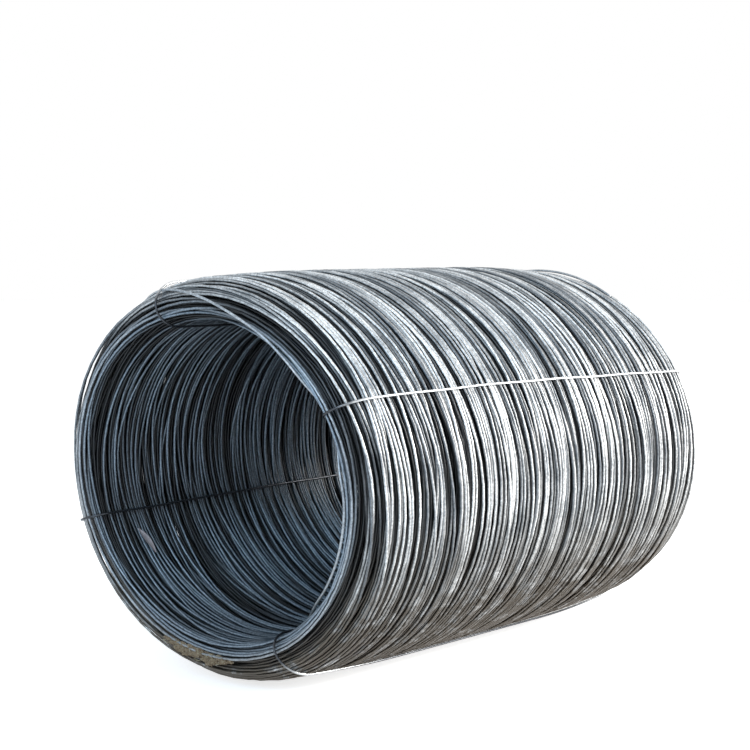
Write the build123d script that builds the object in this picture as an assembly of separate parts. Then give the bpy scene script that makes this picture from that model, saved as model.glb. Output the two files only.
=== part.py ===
from build123d import *
import math
import os

os.makedirs("parts", exist_ok=True)

# Coil of hot-rolled wire rod lying on its side, held by four tie wires. Millimetres.
# X runs along the coil from its near end to its far end, -Y is the near side and Z is up.
# The origin is on the floor under the middle of the coil.
# An angle round the coil is counted from straight down towards the near side.

# The coil
COIL_LENGTH = 1726.0
COIL_BORE_RADIUS = 475.0
COIL_WALL = 150.0
NEAR_TAPER = 22.0
FAR_TAPER = 30.0
LYING_LENGTH = 700.0

# Both ends round over from a ridge that stands above the bore
NEAR_ROUNDING_DEPTH = 118.0
FAR_ROUNDING_DEPTH = 76.0
BORE_MOUTH_DEPTH = 68.0
END_RIDGE_RISE = 54.0
END_RIDGE_WIDTH = 6.0

# All turns lean alike towards the far end, furthest at an angle between straight down and the near side
TURN_LEAN = 7.3
LEAN_TOWARD = 51.5

# The turns of rod that stand proud on the ends
TURN_RELIEF = 3.0
PROUD_TURN_SPACING = 30.0

# The tie wires, with the angle of each round the coil
TIE_DIAMETER = 7.0
TIE_BITE = 5.0
TIE_LIFT = 0.4
TIE_SEAT_GAP = 0.3
TIE_BEND_STEPS = 3
TIE_SEAM_TURN = 45.0
TIE_ANGLES = {
    "tie_bottom": 24.0,
    "tie_near_side": 116.0,
    "tie_top": 197.0,
    "tie_far_side": 285.0,
}

# The twist that closes one tie, on the coil's outside
TWISTED_TIE = "tie_near_side"
TWIST_PLACE = 640.0
TWIST_LENGTH = 90.0
TWIST_TURNS = 1.5
TWIST_STEPS_PER_TURN = 12

# How far a turn leans along the coil for each millimetre of its radius
LEAN_SLOPE = math.tan(math.radians(TURN_LEAN))


def shell_radius(x: float) -> float:
    """Radius of the coil's outside at a place along it, before its ends round over."""
    taper = NEAR_TAPER if x < 0 else FAR_TAPER
    beyond = max(abs(x) - LYING_LENGTH / 2, 0) / (COIL_LENGTH / 2 - LYING_LENGTH / 2)
    return COIL_BORE_RADIUS + COIL_WALL - taper * beyond**2


def leaning_plane(x: float) -> Plane:
    """The plane that a turn leans in, facing the far end, with its own X towards where it leans furthest."""
    angle = math.radians(LEAN_TOWARD)
    forward = Vector(0, -math.sin(angle), -math.cos(angle))
    across = Vector(0, math.cos(angle), -math.sin(angle))
    leaning = forward + Vector(LEAN_SLOPE, 0, 0)
    return Plane(origin=(x, 0, 0), x_dir=leaning, z_dir=leaning.cross(across))


def leaning_ring(x: float, radius: float) -> Sketch:
    """The outline of a leaning turn, which is round when it is seen along the coil."""
    return leaning_plane(x) * Ellipse(radius * math.hypot(1, LEAN_SLOPE), radius)


def rounding(depth: float, rise: float, steps: int, relief: float = 0.0) -> list[tuple[float, float]]:
    """Quarter of an ellipse from an end's ridge to its wall, as depth below the end and rise off the ridge."""
    points = []
    for step in range(steps + 1):
        turn = math.pi / 2 * step / steps
        sunk = relief if step % 2 else 0.0
        points.append((depth - (depth - sunk) * math.cos(turn), (rise - sunk) * math.sin(turn)))
    return points


def proud_steps(depth: float, rise: float) -> int:
    """Steps for a rounding on which every other turn stands proud."""
    return 2 * round(math.hypot(depth, rise) * 1.1 / PROUD_TURN_SPACING)


def outside_line(end: int, steps: int = 0, relief: float = 0.0) -> list[tuple[float, float]]:
    """Places and radii from the ridge of one end to its shoulder, the near end being -1 and the far end 1."""
    depth = NEAR_ROUNDING_DEPTH if end < 0 else FAR_ROUNDING_DEPTH
    face = end * COIL_LENGTH / 2
    ridge = COIL_BORE_RADIUS + END_RIDGE_RISE + END_RIDGE_WIDTH / 2
    rise = shell_radius(face - end * depth) - ridge
    points = rounding(depth, rise, steps or proud_steps(depth, rise), relief)
    return [(face - end * down, ridge + out) for down, out in points]


def mouth_line(end: int, edge: float, steps: int = 0, relief: float = 0.0) -> list[tuple[float, float]]:
    """Places and radii from the ridge of one end down to the edge of the bore."""
    face = end * COIL_LENGTH / 2
    ridge = COIL_BORE_RADIUS + END_RIDGE_RISE - END_RIDGE_WIDTH / 2
    rise = ridge - edge
    points = rounding(BORE_MOUTH_DEPTH, rise, steps or proud_steps(BORE_MOUTH_DEPTH, rise), relief)
    return [(face - end * down, ridge - out) for down, out in points]


def taper_line(end: int) -> list[tuple[float, float]]:
    """Places and radii along the outside from the shoulder of one end to the stretch that the coil lies on."""
    depth = NEAR_ROUNDING_DEPTH if end < 0 else FAR_ROUNDING_DEPTH
    shoulder, lying = COIL_LENGTH / 2 - depth, LYING_LENGTH / 2
    places = [end * (shoulder + lying) / 2, end * lying]
    return [(x, shell_radius(x)) for x in places]


def lying_stretch() -> Part:
    """The straight stretch that the coil lies on, cut off along the turns that bound it."""
    stretch = Rot(Y=90) * Cylinder(COIL_BORE_RADIUS + COIL_WALL, COIL_LENGTH)
    stretch = split(stretch, bisect_by=leaning_plane(-LYING_LENGTH / 2), keep=Keep.TOP)
    return split(stretch, bisect_by=leaning_plane(LYING_LENGTH / 2), keep=Keep.BOTTOM)


def turned_coil() -> Part:
    """The coil as one turned solid with its bore, its axis on the X axis and its turns leaning."""
    coil = lying_stretch()
    for end in (-1, 1):
        outside = outside_line(end, relief=TURN_RELIEF) + taper_line(end)
        coil += loft([leaning_ring(x, radius) for x, radius in outside], ruled=True)
    coil -= Rot(Y=90) * Cylinder(COIL_BORE_RADIUS, 2 * COIL_LENGTH)
    for end in (-1, 1):
        mouth = mouth_line(end, COIL_BORE_RADIUS, relief=TURN_RELIEF)
        coil -= loft([leaning_ring(x, radius) for x, radius in mouth], ruled=True)
    return coil


def in_half_plane(x: float, radius: float, angle: float) -> tuple[float, float]:
    """A point of a leaning turn in the half plane at an angle, with X along the coil and Y as its radius."""
    return x + LEAN_SLOPE * radius * math.cos(math.radians(angle - LEAN_TOWARD)), radius


def tie_line(angle: float) -> Sketch:
    """The area of the wall that one tie goes round, in the half plane at its angle."""
    sunk_bore = COIL_BORE_RADIUS + TIE_BITE + TIE_LIFT
    steps = TIE_BEND_STEPS
    outside = outside_line(-1, steps) + taper_line(-1) + taper_line(1)[::-1] + outside_line(1, steps)[::-1]
    inside = mouth_line(1, sunk_bore, steps) + mouth_line(-1, sunk_bore, steps)[::-1]
    corners = [in_half_plane(x, radius, angle) for x, radius in outside + inside]
    return Polygon(*corners[::-1], align=None)


def tie_loop(wall: Sketch) -> Part:
    """One tie in the XY half plane: a closed loop through the bore, round both ends and along the outside."""
    line = offset(wall, TIE_LIFT + TIE_DIAMETER / 2, kind=Kind.INTERSECTION)
    runs = line.faces()[0].outer_wire().order_edges()
    bore_run = max(range(len(runs)), key=lambda index: runs[index].length)
    runs = runs[bore_run:] + runs[:bore_run]
    start = runs[0] @ 0.5
    path = Wire.make_polygon([start, *[run @ 1 for run in runs], start], close=False)
    section = Plane(origin=start, x_dir=(0, 0, 1), z_dir=path % 0) * Rot(Z=TIE_SEAM_TURN) * Circle(TIE_DIAMETER / 2)
    return sweep(section, path, transition=Transition.RIGHT)


def twisted_ends(angle: float) -> Part:
    """The two ends of a tie twisted round each other on the coil's outside, in the half plane at its angle."""
    steps = round(TWIST_TURNS * TWIST_STEPS_PER_TURN)
    wires = Rot(Y=90) * SlotOverall(2 * TIE_DIAMETER, TIE_DIAMETER)
    sections = []
    for step in range(steps + 1):
        share = step / steps
        sections.append(Pos(TWIST_LENGTH * (share - 0.5)) * Rot(X=360 * TWIST_TURNS * share) * wires)
    middle = Vector(*in_half_plane(TWIST_PLACE, shell_radius(TWIST_PLACE), angle))
    beyond = TWIST_PLACE + TWIST_LENGTH
    along = Vector(*in_half_plane(beyond, shell_radius(beyond), angle)) - middle
    lying = Plane(origin=middle + Vector(0, TIE_DIAMETER + TIE_LIFT), x_dir=along, z_dir=(0, 0, 1))
    return lying * loft(sections, ruled=True)


def tie_seat(wall: Sketch) -> Part:
    """The seat that one tight tie presses into the loose turns, about the XY half plane."""
    floor = offset(wall, TIE_LIFT - TIE_SEAT_GAP, kind=Kind.INTERSECTION)
    pressed = offset(wall, 2 * TIE_DIAMETER, kind=Kind.INTERSECTION) - floor
    return extrude(pressed, TIE_DIAMETER / 2 + TIE_SEAT_GAP, both=True)


def at_angle(angle: float) -> Location:
    """Turns a loop from the XY half plane to its angle round the coil."""
    return Rot(X=270 - angle)


walls = {name: tie_line(angle) for name, angle in TIE_ANGLES.items()}
seats = [at_angle(TIE_ANGLES[name]) * tie_seat(wall) for name, wall in walls.items()]
pieces = {"rod_coil": turned_coil() - seats}
for name, wall in walls.items():
    tie = tie_loop(wall)
    if name == TWISTED_TIE:
        tie += twisted_ends(TIE_ANGLES[name])
    pieces[name] = at_angle(TIE_ANGLES[name]) * tie

boxes = [piece.bounding_box() for piece in pieces.values()]
near, far = min(box.min.X for box in boxes), max(box.max.X for box in boxes)
settle = Pos(-(near + far) / 2, 0, -min(box.min.Z for box in boxes))
for name, piece in pieces.items():
    export_step(settle * piece, f"parts/{name}.step")
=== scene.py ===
"""A coil of hot-rolled wire rod on its side, tied with four wires.

The turns of rod are seeded at random inside the coil's wall, then pushed apart. Many still cut into each
other a little, by up to 1.5 mm. The stray rods aren't settled with them, and cut in deeper in places.
Lengths are in metres. X runs along the coil, -Y is its near side, and Z is up.
An angle round the coil is counted from straight down towards the near side.
"""

import logging
import math
from dataclasses import dataclass, field
from enum import Enum

import bmesh
import bpy
import numpy as np
from mathutils import Matrix, Vector

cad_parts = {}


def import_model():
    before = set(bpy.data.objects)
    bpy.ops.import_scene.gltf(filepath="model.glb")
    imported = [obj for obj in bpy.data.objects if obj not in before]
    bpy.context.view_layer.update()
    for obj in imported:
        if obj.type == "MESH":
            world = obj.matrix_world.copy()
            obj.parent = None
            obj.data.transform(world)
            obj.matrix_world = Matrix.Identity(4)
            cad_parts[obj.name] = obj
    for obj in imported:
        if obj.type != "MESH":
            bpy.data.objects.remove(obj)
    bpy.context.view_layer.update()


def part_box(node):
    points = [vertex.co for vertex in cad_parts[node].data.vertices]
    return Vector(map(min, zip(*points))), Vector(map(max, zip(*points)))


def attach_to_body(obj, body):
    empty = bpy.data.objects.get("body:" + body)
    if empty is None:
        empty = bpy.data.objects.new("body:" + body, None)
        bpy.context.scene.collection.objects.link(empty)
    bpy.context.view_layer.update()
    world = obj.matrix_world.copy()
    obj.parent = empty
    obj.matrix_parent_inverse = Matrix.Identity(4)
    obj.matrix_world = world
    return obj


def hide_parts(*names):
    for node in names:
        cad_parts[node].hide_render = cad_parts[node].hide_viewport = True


LOG = logging.getLogger("coil")
IMAGE_WIDTH = 750
IMAGE_SENSOR = 36.0
AIM_HEIGHT = 0.6

# The waves of a turn: how often round the coil, how far along it, and how far off its axis
TURN_WAVES = ((1, 0.011, 0), (2, 0.008, 0.004), (3, 0.006, 0.0025), (5, 0.0028, 0.0008))


class End(Enum):
    """The coil's two ends, by the direction that they face along X."""

    NEAR = -1
    FAR = 1


class Side(Enum):
    """The two sides of an end's ridge, by the direction that they face off the axis."""

    BORE = -1
    OUTSIDE = 1


@dataclass(frozen=True)
class Corner:
    """One rounded corner of the wall's section, a quarter of an ellipse."""

    end: End
    side: Side
    depth: float
    rise: float


@dataclass(frozen=True)
class CoilForm:
    """The coil's outline, and how far its turns lean along the coil."""

    outer_radius: float
    centre_height: float
    bore_radius: float = 0.477
    length: float = 1.726
    near_taper: float = 0.022
    far_taper: float = 0.030
    near_rounding: float = 0.118
    far_rounding: float = 0.076
    mouth_depth: float = 0.068
    ridge_radius: float = 0.529
    lying_length: float = 0.7
    lean_slope: float = 0.1281
    lean_toward: float = math.radians(51.5)

    def shell(self, along: np.ndarray) -> np.ndarray:
        """Radius of the coil's outside before its ends round over.

        Args:
            along: Places along the coil, with no lean.

        Returns:
            The radius at each place.
        """
        lying, half = self.lying_length / 2, self.length / 2
        beyond = np.clip((np.abs(along) - lying) / (half - lying), 0, 1)
        return self.outer_radius - np.where(along < 0, self.near_taper, self.far_taper) * beyond ** 2

    def corners(self) -> list[Corner]:
        """The four rounded corners of the wall's section."""
        half, ridge = self.length / 2, self.ridge_radius
        near_rise = float(self.shell(np.array(self.near_rounding - half))) - ridge
        far_rise = float(self.shell(np.array(half - self.far_rounding))) - ridge
        mouth_rise = ridge - self.bore_radius
        return [
            Corner(End.NEAR, Side.OUTSIDE, self.near_rounding, near_rise),
            Corner(End.FAR, Side.OUTSIDE, self.far_rounding, far_rise),
            Corner(End.NEAR, Side.BORE, self.mouth_depth, mouth_rise),
            Corner(End.FAR, Side.BORE, self.mouth_depth, mouth_rise),
        ]

    def wall(self, along: np.ndarray) -> tuple[np.ndarray, np.ndarray]:
        """The wall's inner and outer radius at places along the coil.

        Args:
            along: Places along the coil, with no lean.

        Returns:
            The inner and the outer radius at each place.
        """
        half, ridge = self.length / 2, self.ridge_radius
        inner, outer = np.full(np.shape(along), self.bore_radius), self.shell(along)
        for corner in self.corners():
            into = np.clip((along * corner.end.value - (half - corner.depth)) / corner.depth, 0, 1)
            bound = ridge + corner.side.value * corner.rise * np.sqrt(1 - into ** 2)
            if corner.side is Side.OUTSIDE:
                outer = np.where(into > 0, bound, outer)
            else:
                inner = np.where(into > 0, bound, inner)
        return inner, outer

    def depth(self, along: np.ndarray, radius: np.ndarray) -> np.ndarray:
        """How deep points lie under the wall's surface.

        Args:
            along: Places along the coil, with no lean.
            radius: Distances from the coil's axis.

        Returns:
            The depth of each point.
        """
        half = self.length / 2
        deep = np.minimum(self.shell(along) - radius, radius - self.bore_radius)
        deep = np.minimum(deep, half - np.abs(along))
        for corner in self.corners():
            off_x = (along * corner.end.value - (half - corner.depth)) / corner.depth
            off_r = (radius - self.ridge_radius) * corner.side.value / corner.rise
            under = (1 - np.hypot(off_x, off_r)) * min(corner.depth, corner.rise)
            deep = np.where((off_x > 0) & (off_r > 0), under, deep)
        return np.maximum(deep, 0)

    def lean(self, radius: np.ndarray, angle: np.ndarray) -> np.ndarray:
        """How far a point of a turn is moved along the coil by the lean of the turns.

        Args:
            radius: Distance from the coil's axis.
            angle: Angle round the coil.

        Returns:
            The move along X.
        """
        return radius * self.lean_slope * np.cos(angle - self.lean_toward)

    def place(self, along: np.ndarray, radius: np.ndarray, angle: np.ndarray) -> np.ndarray:
        """Points in the scene, from their place in the coil with the lean already in it.

        Args:
            along: Place along the coil, lean included.
            radius: Distance from the coil's axis.
            angle: Angle round the coil.

        Returns:
            An array of points, one row each.
        """
        across = -radius * np.sin(angle)
        height = self.centre_height - radius * np.cos(angle)
        return np.stack([along + 0 * radius, across, height], -1)

    def surface(self, along: float, radius: float, degrees: float) -> Vector:
        """A point in the scene, from its place in the coil with no lean.

        Args:
            along: Place along the coil.
            radius: Distance from the coil's axis.
            degrees: Angle round the coil.

        Returns:
            The point.
        """
        angle, reach = np.array(math.radians(degrees)), np.array(radius)
        return Vector(self.place(along + self.lean(reach, angle), reach, angle))


@dataclass
class TurnBed:
    """All the turns of rod in the coil, as their centre lines in slices round it."""

    form: CoilForm
    tie_degrees: tuple[float, ...] = ()
    rod: float = 0.008
    count: int = 1400
    bundle_pitch: float = 0.0215
    second_layer: float = 0.011
    bundle_scatter: float = 0.35
    bundle_odds: tuple[float, ...] = (0.5, 0.36, 0.14)
    bundle_spacing: float = 1.05
    bundle_sink: float = 0.0022
    tries_per_turn: int = 4
    off_centre: tuple[float, float] = (0.35, 0.95)
    top_room: float = 0.0025
    top_lift: float = 0.35
    tie_dip: float = 0.0075
    dip_reach: float = 1.05
    slices: int = 60
    neighbours: int = 14
    rounds: int = 120
    push_share: float = 0.45
    early_rounds: float = 0.8
    early_ease: float = 0.5
    late_ease: float = 0.15
    seed: int = 8
    along: np.ndarray = field(init=False)
    radius: np.ndarray = field(init=False)
    angles: np.ndarray = field(init=False)
    dips: np.ndarray = field(init=False)

    def bundles(self, rng: np.random.Generator) -> tuple[np.ndarray, np.ndarray]:
        """Seeds the outermost turns, in loose bundles with gaps between them.

        Args:
            rng: The source of chance.

        Returns:
            The places along the coil and the radii of the turns.
        """
        form = self.form
        first, last = -form.length / 2 + form.near_rounding, form.length / 2 - form.far_rounding
        spots = np.arange(first, last, self.bundle_pitch)
        scatter = rng.uniform(-self.bundle_scatter, self.bundle_scatter, len(spots))
        spots = spots + scatter * self.bundle_pitch
        along = []
        for spot in spots:
            size = int(rng.choice([1, 2, 3], p=self.bundle_odds))
            along.extend(spot + self.bundle_spacing * self.rod * np.arange(size))
        placed = np.array(along)
        sunk = self.rod / 2 + np.abs(rng.normal(0, self.bundle_sink, len(placed)))
        return placed, form.shell(placed) - sunk

    def seed_turns(self) -> None:
        """Scatters the turns over the wall's section, off centre and waving, as they fell in winding."""
        form, rng = self.form, np.random.default_rng(self.seed)
        half, gap = form.length / 2, self.rod / 2
        top_along, top_radius = self.bundles(rng)
        inner_count = self.count - len(top_along)
        tries = self.tries_per_turn * self.count
        along = rng.uniform(-half, half, tries)
        radius = rng.uniform(form.bore_radius, form.outer_radius, tries)
        inner, outer = form.wall(along)
        middle = (along > form.near_rounding - half) & (along < half - form.far_rounding)
        outer = outer - np.where(middle, self.second_layer, 0)
        inside = np.flatnonzero((radius > inner + gap) & (radius < outer - gap))[:inner_count]
        room = np.minimum(radius - inner, outer - radius)[inside] - gap
        along = np.concatenate([along[inside], top_along])
        radius = np.concatenate([radius[inside], top_radius])
        room = np.concatenate([room, np.full(len(top_along), self.top_room)])
        count = len(along)
        self.angles = np.arange(self.slices) * 2 * math.pi / self.slices
        angle = self.angles[:, None]
        off_centre = room * rng.uniform(*self.off_centre, count)
        rise = off_centre * np.sin(angle + rng.uniform(0, 2 * math.pi, count))
        sway = np.zeros((self.slices, count))
        for mode, size, lift in TURN_WAVES:
            phase, scale = rng.uniform(0, 2 * math.pi, (2, count)), rng.normal(0, 1, (2, count))
            lift = lift * np.where(np.arange(count) < count - len(top_along), 1, self.top_lift)
            sway += size * scale[0] * np.sin(mode * angle + phase[0])
            rise += lift * scale[1] * np.sin(mode * angle + phase[1])
        self.radius = radius + rise
        self.along = along + sway + form.lean(self.radius, angle)
        self.dips = np.zeros(self.slices)
        for degrees in self.tie_degrees:
            off = np.abs((self.angles - math.radians(degrees) + math.pi) % (2 * math.pi) - math.pi)
            self.dips[off < self.dip_reach * 2 * math.pi / self.slices] = self.tie_dip

    def keep_in_wall(self) -> None:
        """Moves the turns back into the coil's wall, and off the ties, where they have left it."""
        form, half, gap = self.form, self.form.length / 2, self.rod / 2
        shift = form.lean(self.radius, self.angles[:, None])
        straight = self.along - shift
        bore = form.bore_radius + self.dips[:, None] + gap
        radius = np.clip(self.radius, bore, form.shell(straight) - gap)
        straight = np.clip(straight, -half + gap, half - gap)
        for corner in form.corners():
            end, side = corner.end.value, corner.side.value
            centre_x = end * (half - corner.depth)
            off_x = (straight - centre_x) / (corner.depth - gap)
            off_r = (radius - form.ridge_radius) / (corner.rise - gap)
            reach = np.hypot(off_x, off_r)
            over = (off_x * end > 0) & (off_r * side > 0) & (reach > 1)
            scale = np.where(over, 1 / np.maximum(reach, 1e-6), 1)
            straight = centre_x + off_x * scale * (corner.depth - gap)
            radius = form.ridge_radius + off_r * scale * (corner.rise - gap)
        self.along, self.radius = straight + shift, radius

    def push_apart(self) -> float:
        """Moves rods that cut into each other apart, in every slice.

        Returns:
            The deepest cut found, as a length.
        """
        order = np.argsort(self.along, axis=1)
        rows = np.arange(self.slices)[:, None]
        along, radius = self.along[rows, order], self.radius[rows, order]
        deepest = 0.0
        for step in range(1, self.neighbours + 1):
            gap_x = along[:, step:] - along[:, :-step]
            gap_r = radius[:, step:] - radius[:, :-step]
            near = (np.abs(gap_x) < self.rod) & (np.abs(gap_r) < self.rod)
            row, first = np.nonzero(near)
            if not len(row):
                continue
            off_x, off_r = gap_x[row, first], gap_r[row, first]
            reach = np.hypot(off_x, off_r)
            cut = np.maximum(self.rod - reach, 0)
            deepest = max(deepest, float(cut.max()))
            push = self.push_share * cut / np.maximum(reach, 1e-5)
            np.add.at(along, (row, first + step), push * off_x)
            np.add.at(along, (row, first), -push * off_x)
            np.add.at(radius, (row, first + step), push * off_r)
            np.add.at(radius, (row, first), -push * off_r)
        self.along[rows, order] = along
        self.radius[rows, order] = radius
        return deepest

    def ease(self, moved: np.ndarray, share: float) -> np.ndarray:
        """Evens out, along each turn, how far it has been moved.

        Args:
            moved: The moves, by slice and turn.
            share: How much of each move is shared with its neighbours.

        Returns:
            The evened moves.
        """
        beside = (np.roll(moved, 1, axis=0) + np.roll(moved, -1, axis=0)) / 2
        return (1 - share) * moved + share * beside

    def settle(self) -> None:
        """Pushes the seeded turns apart and eases them, over and over, so that few cut into each other."""
        first_along, first_radius = self.along.copy(), self.radius.copy()
        deepest = 0.0
        for number in range(self.rounds):
            deepest = self.push_apart()
            share = self.early_ease if number < self.rounds * self.early_rounds else self.late_ease
            self.along = first_along + self.ease(self.along - first_along, share)
            self.radius = first_radius + self.ease(self.radius - first_radius, share)
            self.keep_in_wall()
        count = self.along.shape[1]
        LOG.info("%d turns settled, deepest cut at the last push %.2f mm", count, deepest * 1000)

    def depths(self) -> np.ndarray:
        """How deep every turn lies under the wall's surface, by slice and turn."""
        straight = self.along - self.form.lean(self.radius, self.angles[:, None])
        return self.form.depth(straight, self.radius)


@dataclass
class NodeBench:
    """A new material, with short ways to add and link its nodes."""

    name: str
    material: bpy.types.Material = field(init=False)

    def __post_init__(self) -> None:
        """Makes the material with its own shader."""
        self.material = bpy.data.materials.new(self.name)
        self.material.use_nodes = True

    @property
    def shader(self) -> bpy.types.Node:
        """The material's own shader."""
        return self.material.node_tree.nodes["Principled BSDF"]

    def add(self, kind: str, **inputs: object) -> bpy.types.Node:
        """Adds a node and fills its sockets.

        Args:
            kind: The node's type.
            inputs: Values or output sockets, by socket name with _ for each space.

        Returns:
            The node.
        """
        node = self.material.node_tree.nodes.new(kind)
        self.fill(node, **inputs)
        return node

    def fill(self, node: bpy.types.Node, **inputs: object) -> None:
        """Fills a node's sockets with values, or links them to output sockets.

        Args:
            node: The node.
            inputs: Values or output sockets, by socket name with _ for each space.
        """
        for key, value in inputs.items():
            socket = node.inputs[key.replace("_", " ")]
            if isinstance(value, bpy.types.NodeSocket):
                self.material.node_tree.links.new(value, socket)
            else:
                socket.default_value = value

    def noise(self, scale: float, detail: float, roughness: float = 0.6) -> bpy.types.NodeSocket:
        """Noise on the object's own coordinates, from 0 to 1.

        Args:
            scale: How fine it is.
            detail: How many finer layers it has.
            roughness: How strong the finer layers are.

        Returns:
            The noise.
        """
        place = self.add("ShaderNodeTexCoord").outputs["Object"]
        return self.add("ShaderNodeTexNoise", Vector=place, Scale=scale, Detail=detail,
                        Roughness=roughness).outputs["Fac"]

    def range(self, value: bpy.types.NodeSocket, from_min: float, from_max: float, to_min: float = 0.0,
              to_max: float = 1.0) -> bpy.types.NodeSocket:
        """Maps a value from one range to another, and holds it there.

        Args:
            value: The value.
            from_min: Start of its range.
            from_max: End of its range.
            to_min: Start of the new range.
            to_max: End of the new range.

        Returns:
            The mapped value.
        """
        node = self.add("ShaderNodeMapRange", Value=value, From_Min=from_min, From_Max=from_max,
                        To_Min=to_min, To_Max=to_max)
        return node.outputs["Result"]

    def times(self, first: bpy.types.NodeSocket, second: object) -> bpy.types.NodeSocket:
        """Multiplies two values.

        Args:
            first: A socket.
            second: A value or a socket.

        Returns:
            Their product.
        """
        node = self.add("ShaderNodeMath")
        node.operation = "MULTIPLY"
        self.material.node_tree.links.new(first, node.inputs[0])
        if isinstance(second, bpy.types.NodeSocket):
            self.material.node_tree.links.new(second, node.inputs[1])
        else:
            node.inputs[1].default_value = second
        return node.outputs["Value"]

    def mix(self, share: object, first: object, second: object, blend: str = "MIX") -> bpy.types.NodeSocket:
        """Mixes two colours.

        Args:
            share: How much of the second, as a value or a socket.
            first: A colour or a socket.
            second: A colour or a socket.
            blend: The way of mixing.

        Returns:
            The mixed colour.
        """
        node = self.material.node_tree.nodes.new("ShaderNodeMix")
        node.data_type, node.blend_type = "RGBA", blend
        for index, value in ((0, share), (6, first), (7, second)):
            if isinstance(value, bpy.types.NodeSocket):
                self.material.node_tree.links.new(value, node.inputs[index])
            else:
                node.inputs[index].default_value = (*value, 1) if isinstance(value, tuple) else value
        return node.outputs[2]

    def reading(self, name: str) -> bpy.types.NodeSocket:
        """A value that the mesh holds at its points.

        Args:
            name: The value's name.

        Returns:
            The value.
        """
        node = self.add("ShaderNodeAttribute")
        node.attribute_name = name
        return node.outputs["Fac"]

    def bump(self, height: bpy.types.NodeSocket, strength: float, distance: float) -> None:
        """Gives the shader a bump from a height.

        Args:
            height: The height.
            strength: How strong the bump is, up to 1.
            distance: The height's size.
        """
        normal = self.add("ShaderNodeBump", Height=height, Strength=strength, Distance=distance)
        self.fill(self.shader, Normal=normal.outputs["Normal"])


@dataclass(frozen=True)
class ScaleFinish:
    """Mill-scale rod, partly rubbed bright with a painted highlight, with painted shade deep, in the bore
    and low.
    """

    name: str = "mill_scale"
    # Near white: rubbed scale and a painted highlight on the bright turns
    rubbed_and_highlight: tuple[float, float, float] = (0.93, 0.92, 0.90)
    scale_grey: tuple[float, float, float] = (0.17, 0.185, 0.20)
    # Painted bluish shade for the turns in the bore
    bore_shade_tint: tuple[float, float, float] = (0.25, 0.30, 0.35)
    # Painted shade for turns that lie deeper under the surface
    deep: tuple[float, float, float] = (0.026, 0.028, 0.030)
    # Painted shade, browner as a painted reflection of the ground, for the low outside turns
    painted_ground_shade: tuple[float, float, float] = (0.105, 0.086, 0.066)
    # Depths where the painted shade of the deeper turns starts and where it is full
    shade_start_depth: float = 0.0055
    shade_full_depth: float = 0.0145
    # Height below which the outside turns get the painted low shade
    ground_shade_height: float = 0.55
    metallic: float = 0.45

    def build(self) -> bpy.types.Material:
        """Makes the material."""
        bench = NodeBench(self.name)
        patches, grain = bench.noise(9.0, 5.0, 0.65), bench.noise(140.0, 3.0)
        tone = bench.reading("tone")
        # Random turns near white, as rubbed scale and as a painted highlight
        rubbed_and_highlight_share = bench.range(bench.times(bench.range(patches, 0.25, 0.75, 0.5, 1.5), tone), 0.25, 0.85)
        colour = bench.mix(rubbed_and_highlight_share, self.scale_grey, self.rubbed_and_highlight)
        # Painted bluish shade on the bore's turns
        colour = bench.mix(bench.reading("lit_share"), self.bore_shade_tint, colour)
        # Painted shade on the deeper turns, between the outer ones
        depth = bench.range(bench.reading("depth"), self.shade_start_depth, self.shade_full_depth)
        colour = bench.mix(depth, colour, self.deep)
        mottle = bench.range(grain, 0.3, 0.7, 0.55, 1.25)
        flecks = bench.add("ShaderNodeCombineColor", Red=mottle, Green=mottle, Blue=mottle)
        colour = bench.mix(1.0, colour, flecks.outputs["Color"], "MULTIPLY")
        place = bench.add("ShaderNodeTexCoord").outputs["Object"]
        height = bench.add("ShaderNodeSeparateXYZ", Vector=place).outputs["Z"]
        # Darker and browner towards the floor on the outside turns: painted shade and a painted reflection
        # of the ground
        low = bench.range(height, self.ground_shade_height, 0.02, 0.0, 1.75)
        low = bench.times(low, bench.reading("lit_share"))
        clouds = bench.range(bench.noise(17.0, 6.0, 0.7), 0.24, 0.56)
        colour = bench.mix(bench.times(low, clouds), colour, self.painted_ground_shade)
        rough = bench.range(grain, 0.25, 0.75, 0.27, 0.46)
        bench.fill(bench.shader, Base_Color=colour, Roughness=rough, Metallic=self.metallic)
        bench.bump(grain, 0.25, 0.0006)
        return bench.material


@dataclass(frozen=True)
class TieFinish:
    """Drawn tie wire with small scuffs, painted light outside and painted shade in the bore and near the
    floor.
    """

    name: str = "drawn_wire"
    bright: tuple[float, float, float] = (0.88, 0.88, 0.87)
    dull: tuple[float, float, float] = (0.50, 0.51, 0.52)
    # Painted shade for the tie in the bore and near the floor
    tie_shade: tuple[float, float, float] = (0.055, 0.058, 0.065)

    def build(self) -> bpy.types.Material:
        """Makes the material."""
        bench = NodeBench(self.name)
        scuffs = bench.noise(70.0, 4.0)
        colour = bench.mix(bench.range(scuffs, 0.38, 0.62), self.bright, self.dull)
        # Painted shade in the bore and near the floor, painted light outside
        colour = bench.mix(bench.reading("lit_share"), self.tie_shade, colour)
        rough = bench.range(bench.noise(260.0, 2.0), 0.3, 0.7, 0.24, 0.40)
        bench.fill(bench.shader, Base_Color=colour, Roughness=rough, Metallic=0.7)
        bench.bump(scuffs, 0.2, 0.0004)
        return bench.material


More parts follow.
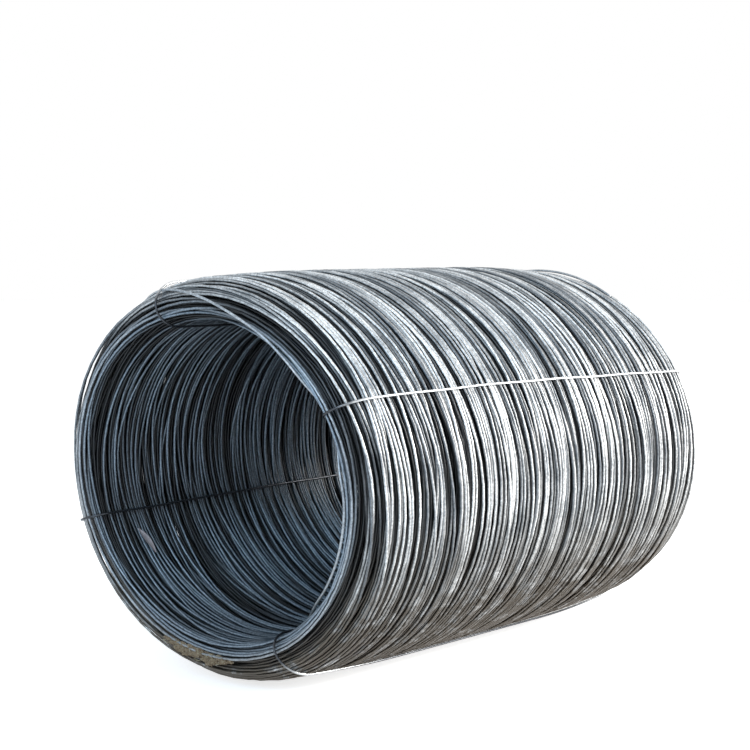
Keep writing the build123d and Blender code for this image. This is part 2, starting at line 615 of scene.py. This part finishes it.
@dataclass(frozen=True)
class DirtFinish:
    """Something dry and dull that is caught in the coil, in two tones with flecks."""

    name: str
    first: tuple[float, float, float]
    second: tuple[float, float, float]
    fleck: tuple[float, float, float]
    grain: float

    def build(self) -> bpy.types.Material:
        """Makes the material."""
        bench = NodeBench(self.name)
        crumbs = bench.noise(self.grain, 6.0, 0.7)
        colour = bench.mix(bench.range(crumbs, 0.35, 0.65), self.first, self.second)
        colour = bench.mix(bench.range(bench.noise(self.grain * 2.3, 3.0), 0.62, 0.68), colour, self.fleck)
        bench.fill(bench.shader, Base_Color=colour, Roughness=0.9)
        bench.bump(crumbs, 0.8, 0.002)
        return bench.material


def hold(mesh: bpy.types.Mesh, label: str, values: np.ndarray) -> None:
    """Stores a value at every point of a mesh, for its material to read.

    Args:
        mesh: The mesh.
        label: The value's name.
        values: The value at each point.
    """
    held = mesh.attributes.new(label, "FLOAT", "POINT")
    held.data.foreach_set("value", np.ascontiguousarray(values, dtype=np.float32))


def new_object(name: str, mesh: bpy.types.Mesh, material: bpy.types.Material) -> bpy.types.Object:
    """Links a finished mesh into the scene as an object at the origin.

    Args:
        name: The object's name.
        mesh: Its mesh.
        material: Its finish.

    Returns:
        The object.
    """
    mesh.materials.append(material)
    piece = bpy.data.objects.new(name, mesh)
    bpy.context.scene.collection.objects.link(piece)
    return piece


@dataclass
class RodCoil:
    """The turns of rod as five-sided bars shaded round, in pieces of a fair size."""

    bed: TurnBed
    finish: ScaleFinish
    sides: int = 5
    turns_per_piece: int = 300
    spread: float = 0.05
    # Band round the ridge over which the lit share, which masks the painted bore shade, rises
    lit_below_ridge: float = 0.022
    lit_band: float = 0.07
    depths: np.ndarray = field(init=False)
    lit_shares: np.ndarray = field(init=False)
    tones: np.ndarray = field(init=False)

    def spun_rings(self, count: int) -> bpy.types.Mesh:
        """Spins separate plain rings side by side about the X axis.

        Args:
            count: How many rings.

        Returns:
            A mesh of rings, each a fixed distance from the next.
        """
        work = bmesh.new()
        radius = self.bed.form.outer_radius
        for turn in range(count):
            at = Matrix.Translation((turn * self.spread, 0, -radius)) @ Matrix.Rotation(math.pi / 2, 4, "X")
            bmesh.ops.create_circle(
                work, cap_ends=False, segments=self.sides, radius=self.bed.rod / 2, matrix=at,
            )
        bmesh.ops.spin(
            work, geom=work.verts[:] + work.edges[:], cent=(0, 0, 0), axis=(1, 0, 0), dvec=(0, 0, 0),
            angle=2 * math.pi, steps=self.bed.slices, use_merge=True, use_duplicate=False,
        )
        bmesh.ops.recalc_face_normals(work, faces=work.faces[:])
        for face in work.faces:
            face.smooth = True
        mesh = bpy.data.meshes.new("rings")
        work.to_mesh(mesh)
        work.free()
        return mesh

    def lay(self, name: str, turns: np.ndarray, material: bpy.types.Material) -> bpy.types.Object:
        """Lays plain rings along the settled lines of some turns.

        Args:
            name: The piece's name.
            turns: Which turns of the bed.
            material: Its finish.

        Returns:
            The piece.
        """
        bed, radius = self.bed, self.bed.form.outer_radius
        mesh = self.spun_rings(len(turns))
        points = np.empty(len(mesh.vertices) * 3)
        mesh.vertices.foreach_get("co", points)
        points = points.reshape(-1, 3)
        ring = np.rint(points[:, 0] / self.spread).astype(int)
        angle = np.arctan2(-points[:, 1], -points[:, 2])
        slot = np.rint(angle / (2 * math.pi / bed.slices)).astype(int) % bed.slices
        off_x = points[:, 0] - ring * self.spread
        off_r = np.hypot(points[:, 1], points[:, 2]) - radius
        along = bed.along[slot, turns[ring]] + off_x
        reach = bed.radius[slot, turns[ring]] + off_r
        placed = bed.form.place(along, reach, bed.angles[slot])
        mesh.vertices.foreach_set("co", placed.ravel())
        hold(mesh, "depth", self.depths[slot, turns[ring]])
        # Lit share, for the painted bore shade and the painted low shade
        hold(mesh, "lit_share", self.lit_shares[slot, turns[ring]])
        hold(mesh, "tone", self.tones[turns[ring]])
        mesh.update()
        return new_object(name, mesh, material)

    def build(self) -> list[bpy.types.Object]:
        """Builds every piece of the coil's visible turns."""
        material = self.finish.build()
        rng = np.random.default_rng(self.bed.seed + 1)
        self.depths = self.bed.depths()
        # Lit share: 1 outside, 0 in the bore, the mask of the painted bore shade and the painted low shade
        above = self.bed.radius - self.bed.form.ridge_radius + self.lit_below_ridge
        self.lit_shares = np.clip(above / self.lit_band, 0, 1)
        self.tones = rng.beta(2.0, 1.6, self.bed.along.shape[1])
        order = np.argsort(self.bed.along.mean(axis=0))
        pieces = []
        groups = math.ceil(len(order) / self.turns_per_piece)
        for number, turns in enumerate(np.array_split(order, groups)):
            pieces.append(self.lay(f"coil_turns_{number + 1}", turns, material))
        return pieces


def wire_mesh(name: str, routes: list[list[Vector]], radius: float, closed: bool,
              sides: int = 3) -> bpy.types.Mesh:
    """Makes round wires along routes as one mesh.

    Args:
        name: The mesh's name.
        routes: The points of each wire's middle.
        radius: The wires' radius.
        closed: Whether each wire joins up with itself.
        sides: Steps round a quarter of the wire.

    Returns:
        The mesh.
    """
    line = bpy.data.curves.new(name + "_line", "CURVE")
    line.dimensions = "3D"
    line.bevel_depth, line.bevel_resolution = radius, sides
    line.use_fill_caps = True
    for route in routes:
        spline = line.splines.new("POLY")
        spline.points.add(len(route) - 1)
        for point, place in zip(spline.points, route):
            point.co = (*place, 1)
        spline.use_cyclic_u = closed
        spline.use_smooth = True
    holder = bpy.data.objects.new(name + "_line", line)
    mesh = bpy.data.meshes.new_from_object(holder)
    mesh.name = name
    mesh.materials.clear()
    bpy.data.objects.remove(holder)
    bpy.data.curves.remove(line)
    work = bmesh.new()
    work.from_mesh(mesh)
    bmesh.ops.remove_doubles(work, verts=work.verts[:], dist=1e-6)
    bmesh.ops.recalc_face_normals(work, faces=work.faces[:])
    work.to_mesh(mesh)
    work.free()
    return mesh


@dataclass(frozen=True)
class TieWire:
    """One tie: a closed loop through the bore, round both ends and along the outside."""

    node: str
    degrees: float
    form: CoilForm
    radius: float = 0.0035
    bore_line: float = 0.4765
    lift: float = 0.0039
    wander: float = 0.22
    drift: float = 0.0
    phase: float = 0.0
    twisted: bool = False
    twist_place: float = 0.640
    twist_length: float = 0.095
    twist_turns: float = 2.0
    twist_steps: int = 40
    twist_rise: float = 0.0074
    strand_off: float = 0.0036
    splay: float = 0.004
    splay_from: float = 0.86
    arc_steps: int = 9
    least_run: float = 0.002
    # Where the tie's painted shade near the floor and its painted light outside the bore begin
    floor_shade_height: float = 0.052
    floor_shade_band: float = 0.02
    lit_radius: float = 0.565
    lit_radius_band: float = 0.045

    def slack(self, along: float) -> float:
        """How far the tie strays round the coil.

        Args:
            along: Place along the coil.

        Returns:
            The angle, in degrees.
        """
        sway = self.wander * math.sin(5.3 * along + self.phase) + 0.35 * self.wander * math.sin(17 * along)
        return sway - self.drift * along / (self.form.length / 2)

    def arc(self, corner: Corner, outwards: bool) -> list[tuple[float, float]]:
        """The tie's way round one corner of the wall.

        Args:
            corner: The corner.
            outwards: Whether it runs from the ridge to the wall, and not back.

        Returns:
            Places along the coil and radii.
        """
        rise = self.form.ridge_radius - self.bore_line
        if corner.side is Side.OUTSIDE:
            rise = corner.rise + self.lift
        depth = corner.depth + self.lift
        middle = corner.end.value * (self.form.length / 2 - corner.depth)
        turns = [math.pi / 2 * step / self.arc_steps for step in range(self.arc_steps + 1)]
        line = [
            (middle + corner.end.value * depth * math.cos(turn),
             self.form.ridge_radius + corner.side.value * rise * math.sin(turn))
            for turn in turns
        ]
        return line if outwards else line[::-1]

    def outside_run(self) -> list[tuple[float, float]]:
        """The tie's way along the outside, from the far shoulder to the near one."""
        form = self.form
        first, last = form.length / 2 - form.far_rounding, form.near_rounding - form.length / 2
        places = np.linspace(first, last, 30)[1:-1]
        return [(float(x), float(form.shell(np.array(x))) + self.lift) for x in places]

    def bore_run(self) -> list[tuple[float, float]]:
        """The tie's way through the bore, from the near end to the far one."""
        reach = self.form.length / 2 - self.form.mouth_depth
        return [(float(x), self.bore_line) for x in np.linspace(-reach, reach, 22)[1:-1]]

    def route(self) -> list[Vector]:
        """The points of the whole loop."""
        near_out, far_out, near_in, far_in = self.form.corners()
        line = self.bore_run() + self.arc(far_in, False) + self.arc(far_out, True) + self.outside_run()
        line += self.arc(near_out, False) + self.arc(near_in, True)
        points = [self.form.surface(along, reach, self.degrees + self.slack(along)) for along, reach in line]
        kept = [points[0]]
        for point in points[1:]:
            if (point - kept[-1]).length > self.least_run:
                kept.append(point)
        return kept

    def twist(self) -> list[list[Vector]]:
        """The tie's two ends twisted round each other on the coil's outside."""
        strands = []
        for start in (0.0, math.pi):
            strand = []
            for step in range(self.twist_steps + 1):
                share = step / self.twist_steps
                turn = start + 2 * math.pi * self.twist_turns * share
                along = self.twist_place + self.twist_length * (share - 0.5)
                middle = float(self.form.shell(np.array(along))) + self.twist_rise
                beyond = max(share - self.splay_from, 0) / (1 - self.splay_from)
                loose = self.strand_off + self.splay * beyond
                off = math.degrees(loose * math.sin(turn) / middle)
                off -= self.drift * along / (self.form.length / 2)
                strand.append(self.form.surface(along, middle + loose * math.cos(turn), self.degrees + off))
            strands.append(strand)
        return strands

    def build(self, material: bpy.types.Material) -> list[bpy.types.Object]:
        """Builds the tie, with its twist if it shows one.

        Args:
            material: Its finish.

        Returns:
            The pieces.
        """
        loop = wire_mesh(f"{self.node}_wire", [self.route()], self.radius, True)
        pieces = [new_object(f"{self.node}_wire", loop, material)]
        if self.twisted:
            ends = wire_mesh(f"{self.node}_twist", self.twist(), self.radius, False)
            pieces.append(new_object(f"{self.node}_twist", ends, material))
        for piece in pieces:
            # Painted light outside the bore and above the floor, painted shade elsewhere
            across, height = np.array([vert.co[1:] for vert in piece.data.vertices]).T
            off_axis = np.hypot(across, height - self.form.centre_height)
            clear_of_floor_shade = np.clip((height - self.floor_shade_height) / self.floor_shade_band, 0, 1)
            lit_outside = np.clip((off_axis - self.lit_radius) / self.lit_radius_band, 0, 1)
            hold(piece.data, "lit_share", lit_outside * clear_of_floor_shade)
        return pieces


@dataclass(frozen=True)
class StrayRods:
    """Three lengths of rod that cross the turns near the ends.

    They aren't settled with the turns, so they cut into some of them.
    """

    form: CoilForm
    radius: float = 0.004
    # A lit share of one half: half the painted bore shade, and half the painted low shade
    looks: tuple[tuple[str, float], ...] = (("depth", 0.0), ("lit_share", 0.5), ("tone", 0.6))

    def follow(self, stops: list[tuple[float, float, float]], steps: int = 12) -> list[Vector]:
        """A smooth line over stops on the coil.

        Args:
            stops: Angle in degrees, place along the coil and radius of each.
            steps: Points for each stop.

        Returns:
            The points.
        """
        held = np.array(stops)
        marks = np.arange(len(held))
        fine = np.linspace(0, len(held) - 1, steps * (len(held) - 1) + 1)
        before = np.clip(np.floor(fine).astype(int), 0, len(held) - 2)
        share = (fine - marks[before])[:, None]
        slope = np.gradient(held, axis=0)
        first, second = held[before], held[before + 1]
        leave, arrive = 2 * share ** 3 - 3 * share ** 2 + 1, 3 * share ** 2 - 2 * share ** 3
        line = leave * first + (share ** 3 - 2 * share ** 2 + share) * slope[before]
        line = line + arrive * second + (share ** 3 - share ** 2) * slope[before + 1]
        return [self.form.surface(float(along), float(reach), float(angle)) for angle, along, reach in line]

    def build(self, material: bpy.types.Material) -> bpy.types.Object:
        """Builds the stray rods as one piece."""
        crossing = self.follow([
            (232, -0.700, 0.606), (215, -0.745, 0.606), (200, -0.806, 0.596), (184, -0.858, 0.568),
            (165, -0.872, 0.531), (148, -0.868, 0.512), (132, -0.842, 0.487), (119, -0.795, 0.474),
            (104, -0.770, 0.474),
        ])
        lip = self.follow([
            (112, -0.800, 0.474), (100, -0.842, 0.486), (88, -0.858, 0.502), (72, -0.862, 0.502),
            (58, -0.852, 0.492), (46, -0.818, 0.475), (34, -0.770, 0.474),
        ])
        last = self.follow([
            (150, 0.800, 0.596), (165, 0.812, 0.603), (180, 0.816, 0.606), (196, 0.812, 0.602),
            (214, 0.796, 0.597),
        ])
        mesh = wire_mesh("stray_rods", [crossing, lip, last], self.radius, False)
        for label, value in self.looks:
            hold(mesh, label, np.full(len(mesh.vertices), value))
        return new_object("stray_rods", mesh, material)


@dataclass(frozen=True)
class CaughtDirt:
    """Dry soil with straws between the lowest front turns, and a scrap of leaf in the bore."""

    form: CoilForm
    clods: int = 70
    soil_place: float = -0.858
    soil_radius: float = 0.536
    soil_angles: tuple[float, float] = (336, 28)
    straw_count: int = 26
    straw_radius: float = 0.0009
    straw_reach: tuple[tuple[float, float], ...] = ((-0.006, 0.001), (-0.016, 0.016), (-0.004, 0.010))
    leaf_width: float = 0.021
    leaf_curl: float = 0.006
    leaf_thickness: float = 0.0006
    seed: int = 5

    def soil(self, material: bpy.types.Material) -> bpy.types.Object:
        """Builds the soil as a row of rough clods that have run together."""
        rng = np.random.default_rng(self.seed)
        work = bmesh.new()
        first, reach = self.soil_angles
        for number in range(self.clods):
            share = (number + rng.uniform(-0.6, 0.6)) / (self.clods - 1)
            thick = math.sin(math.pi * min(max(share, 0.04), 0.96)) ** 0.6
            out = self.soil_radius + thick * rng.uniform(-0.017, 0.017)
            middle = self.form.surface(self.soil_place + rng.uniform(0, 0.006), out, first + reach * share)
            size = rng.uniform(0.007, 0.013) * (0.55 + 0.45 * thick)
            at = Matrix.Translation(middle)
            for vert in bmesh.ops.create_icosphere(work, subdivisions=3, radius=size, matrix=at)["verts"]:
                off = vert.co - middle
                ripple = 0.3 * math.sin(off.x * 900 + number) * math.sin(off.y * 700)
                rough = 1 + ripple + rng.uniform(-0.15, 0.15)
                vert.co = middle + Vector((off.x * 0.7, off.y * 1.5, off.z * 0.75)) * rough
        mesh = bpy.data.meshes.new("dry_soil")
        work.to_mesh(mesh)
        work.free()
        return new_object("dry_soil", mesh, material)

    def straws(self, material: bpy.types.Material) -> bpy.types.Object:
        """Builds the short straws that stick out of the soil."""
        rng = np.random.default_rng(self.seed + 1)
        routes = []
        for _ in range(self.straw_count):
            degrees = 337 + 26 * rng.uniform(0, 1)
            start = self.form.surface(-0.862, self.soil_radius + rng.uniform(-0.016, 0.016), degrees)
            lean = Vector([rng.uniform(low, high) for low, high in self.straw_reach])
            routes.append([start, start + 0.55 * lean + Vector((-0.001, 0, 0.001)), start + lean])
        mesh = wire_mesh("dry_straws", routes, self.straw_radius, False, 1)
        return new_object("dry_straws", mesh, material)

    def scrap(self, material: bpy.types.Material) -> bpy.types.Object:
        """Builds the curled scrap of leaf."""
        work = bmesh.new()
        bmesh.ops.create_grid(work, x_segments=14, y_segments=4, size=0.5)
        first = self.form.surface(-0.735, 0.4715, 294.0)
        last = self.form.surface(-0.710, 0.4715, 304.5)
        across = Vector((1, 0, 0)).cross(last - first).normalized().cross(last - first).normalized()
        inwards = (Vector((first.x, 0, self.form.centre_height)) - first).normalized()
        for vert in work.verts:
            share, side = vert.co.x + 0.5, vert.co.y
            width = self.leaf_width * math.sin(math.pi * min(max(share, 0.02), 0.98)) ** 0.7
            curl = self.leaf_curl * math.sin(math.pi * share) + 0.012 * side * side
            vert.co = first.lerp(last, share) + across * (side * width) + inwards * curl
        bmesh.ops.recalc_face_normals(work, faces=work.faces[:])
        bmesh.ops.solidify(work, geom=work.faces[:], thickness=self.leaf_thickness)
        mesh = bpy.data.meshes.new("leaf_scrap")
        work.to_mesh(mesh)
        work.free()
        return new_object("leaf_scrap", mesh, material)


@dataclass
class PhotoCamera:
    """The camera at the photograph's viewing angle."""

    azimuth: float = -47.984
    elevation: float = 4.366
    roll: float = -0.1734
    distance: float = 5.65
    focal_pixels: float = 1703.93
    aim_right: float = -0.0800
    aim_up: float = 0.2959

    def build(self) -> None:
        """Makes the camera and sets it as the scene's own."""
        turn, rise, roll = (math.radians(angle) for angle in (self.azimuth, self.elevation, self.roll))
        back = Vector((math.sin(turn) * math.cos(rise), -math.cos(turn) * math.cos(rise), math.sin(rise)))
        level = Vector((math.cos(turn), math.sin(turn), 0))
        upright = back.cross(level)
        right = math.cos(roll) * level + math.sin(roll) * upright
        up = -math.sin(roll) * level + math.cos(roll) * upright
        aim = Vector((0, 0, AIM_HEIGHT)) + level * self.aim_right + upright * self.aim_up
        data = bpy.data.cameras.new("camera")
        data.sensor_width = IMAGE_SENSOR
        data.lens = IMAGE_SENSOR * self.focal_pixels / IMAGE_WIDTH
        camera = bpy.data.objects.new("camera", data)
        turned = Matrix((right, up, back)).transposed().to_4x4()
        camera.matrix_world = Matrix.Translation(aim + back * self.distance) @ turned
        bpy.context.scene.collection.objects.link(camera)
        bpy.context.scene.camera = camera


@dataclass
class Studio:
    """Pale floor, white surroundings and soft lamps."""

    floor_size: float = 60.0
    floor_glow: float = 0.74
    sky: tuple[float, float, float] = (0.78, 0.90, 1.0)
    sky_strength: float = 0.50
    key_power: float = 860.0
    fill_power: float = 155.0

    def lamp(self, name: str, place: tuple[float, float, float], size: float, power: float,
             colour: tuple[float, float, float]) -> None:
        """Adds one square soft lamp that faces the coil.

        Args:
            name: The lamp's name.
            place: Where it stands.
            size: Its side.
            power: Its power in watts.
            colour: Its colour.
        """
        data = bpy.data.lights.new(name, "AREA")
        data.size, data.energy, data.color = size, power, colour
        lamp = bpy.data.objects.new(name, data)
        aim = Vector((0, 0, AIM_HEIGHT)) - Vector(place)
        lamp.matrix_world = Matrix.Translation(place) @ aim.to_track_quat("-Z", "Y").to_matrix().to_4x4()
        bpy.context.scene.collection.objects.link(lamp)

    def seen_white(self, nodes: bpy.types.Nodes, links: bpy.types.NodeLinks) -> bpy.types.NodeSocket:
        """Tells rays that should meet plain white from those that light the coil.

        Args:
            nodes: The nodes to add to.
            links: Their links.

        Returns:
            A value that is 1 for camera, glossy and transmission rays.
        """
        rays = nodes.new("ShaderNodeLightPath")
        total = rays.outputs["Is Camera Ray"]
        for name in ("Is Glossy Ray", "Is Transmission Ray"):
            most = nodes.new("ShaderNodeMath")
            most.operation = "MAXIMUM"
            links.new(total, most.inputs[0])
            links.new(rays.outputs[name], most.inputs[1])
            total = most.outputs["Value"]
        return total

    def floor(self) -> None:
        """Makes the floor, white to the camera but for the coil's shadow, and pale to everything else."""
        work = bmesh.new()
        bmesh.ops.create_grid(work, x_segments=1, y_segments=1, size=self.floor_size / 2)
        mesh = bpy.data.meshes.new("floor")
        work.to_mesh(mesh)
        work.free()
        material = bpy.data.materials.new("floor_paint")
        material.use_nodes = True
        nodes, links = material.node_tree.nodes, material.node_tree.links
        paint = nodes["Principled BSDF"]
        paint.inputs["Base Color"].default_value = (0.8, 0.8, 0.8, 1)
        paint.inputs["Roughness"].default_value = 0.9
        glow, both = nodes.new("ShaderNodeEmission"), nodes.new("ShaderNodeAddShader")
        strength = nodes.new("ShaderNodeMath")
        strength.operation = "MULTIPLY"
        strength.inputs[1].default_value = self.floor_glow
        links.new(self.seen_white(nodes, links), strength.inputs[0])
        links.new(strength.outputs["Value"], glow.inputs["Strength"])
        links.new(paint.outputs["BSDF"], both.inputs[0])
        links.new(glow.outputs["Emission"], both.inputs[1])
        links.new(both.outputs["Shader"], nodes["Material Output"].inputs["Surface"])
        new_object("floor", mesh, material)

    def world(self) -> None:
        """Lights the scene evenly from a pale sky that the camera sees as white."""
        world = bpy.data.worlds.new("surroundings")
        bpy.context.scene.world = world
        world.use_nodes = True
        nodes, links = world.node_tree.nodes, world.node_tree.links
        soft = nodes["Background"]
        soft.inputs["Color"].default_value = (*self.sky, 1)
        soft.inputs["Strength"].default_value = self.sky_strength
        white, mix = nodes.new("ShaderNodeBackground"), nodes.new("ShaderNodeMixShader")
        white.inputs["Color"].default_value = (1, 1, 1, 1)
        links.new(self.seen_white(nodes, links), mix.inputs["Fac"])
        links.new(soft.outputs["Background"], mix.inputs[1])
        links.new(white.outputs["Background"], mix.inputs[2])
        links.new(mix.outputs["Shader"], nodes["World Output"].inputs["Surface"])

    def build(self) -> None:
        """Makes the floor, the world and the lamps."""
        self.floor()
        self.world()
        self.lamp("key", (4.7, -5.2, 2.6), 2.6, self.key_power, (1.0, 0.98, 0.95))
        self.lamp("fill", (-5.4, -1.6, 3.3), 3.0, self.fill_power, (0.50, 0.75, 1.0))


def attach(pieces: list[bpy.types.Object], node: str) -> None:
    """Lets pieces stand for a CAD node and ride on the coil's one body.

    Args:
        pieces: The pieces.
        node: The node that they replace.
    """
    for piece in pieces:
        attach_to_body(piece, "root")
        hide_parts(node)
        LOG.info("%s: %d faces", piece.name, len(piece.data.polygons))


def main() -> None:
    """Builds the whole scene."""
    logging.basicConfig(level=logging.INFO, format="%(message)s")
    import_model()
    bpy.context.scene.view_settings.view_transform = "Standard"
    PhotoCamera().build()
    low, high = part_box("rod_coil")
    radius = (high[2] - low[2]) / 2
    form = CoilForm(outer_radius=radius, centre_height=low[2] + radius)
    ties = [
        TieWire("tie_bottom", 24.0, form, phase=0.4, drift=1.2),
        TieWire("tie_near_side", 116.5, form, phase=2.1, drift=0.8, twisted=True),
        TieWire("tie_top", 196.5, form, phase=4.0, drift=-0.7),
        TieWire("tie_far_side", 285.0, form, phase=5.2, drift=1.2),
    ]
    bed = TurnBed(form, tuple(tie.degrees for tie in ties))
    bed.seed_turns()
    bed.settle()
    rod_coil = RodCoil(bed, ScaleFinish())
    pieces = rod_coil.build()
    pieces.append(StrayRods(form).build(pieces[0].data.materials[0]))
    attach(pieces, "rod_coil")
    wire = TieFinish().build()
    for tie in ties:
        attach(tie.build(wire), tie.node)
    dirt = CaughtDirt(form)
    soil = DirtFinish("dry_soil", (0.16, 0.10, 0.055), (0.36, 0.26, 0.16), (0.62, 0.55, 0.45), 120.0)
    leaf = DirtFinish("dry_leaf", (0.52, 0.44, 0.43), (0.38, 0.31, 0.31), (0.66, 0.60, 0.60), 60.0)
    straw = DirtFinish("dry_straw", (0.55, 0.46, 0.30), (0.42, 0.33, 0.20), (0.70, 0.62, 0.46), 80.0)
    caught = [dirt.soil(soil.build()), dirt.straws(straw.build()), dirt.scrap(leaf.build())]
    attach(caught, "rod_coil")
    Studio().build()


if __name__ == "__main__":
    main()
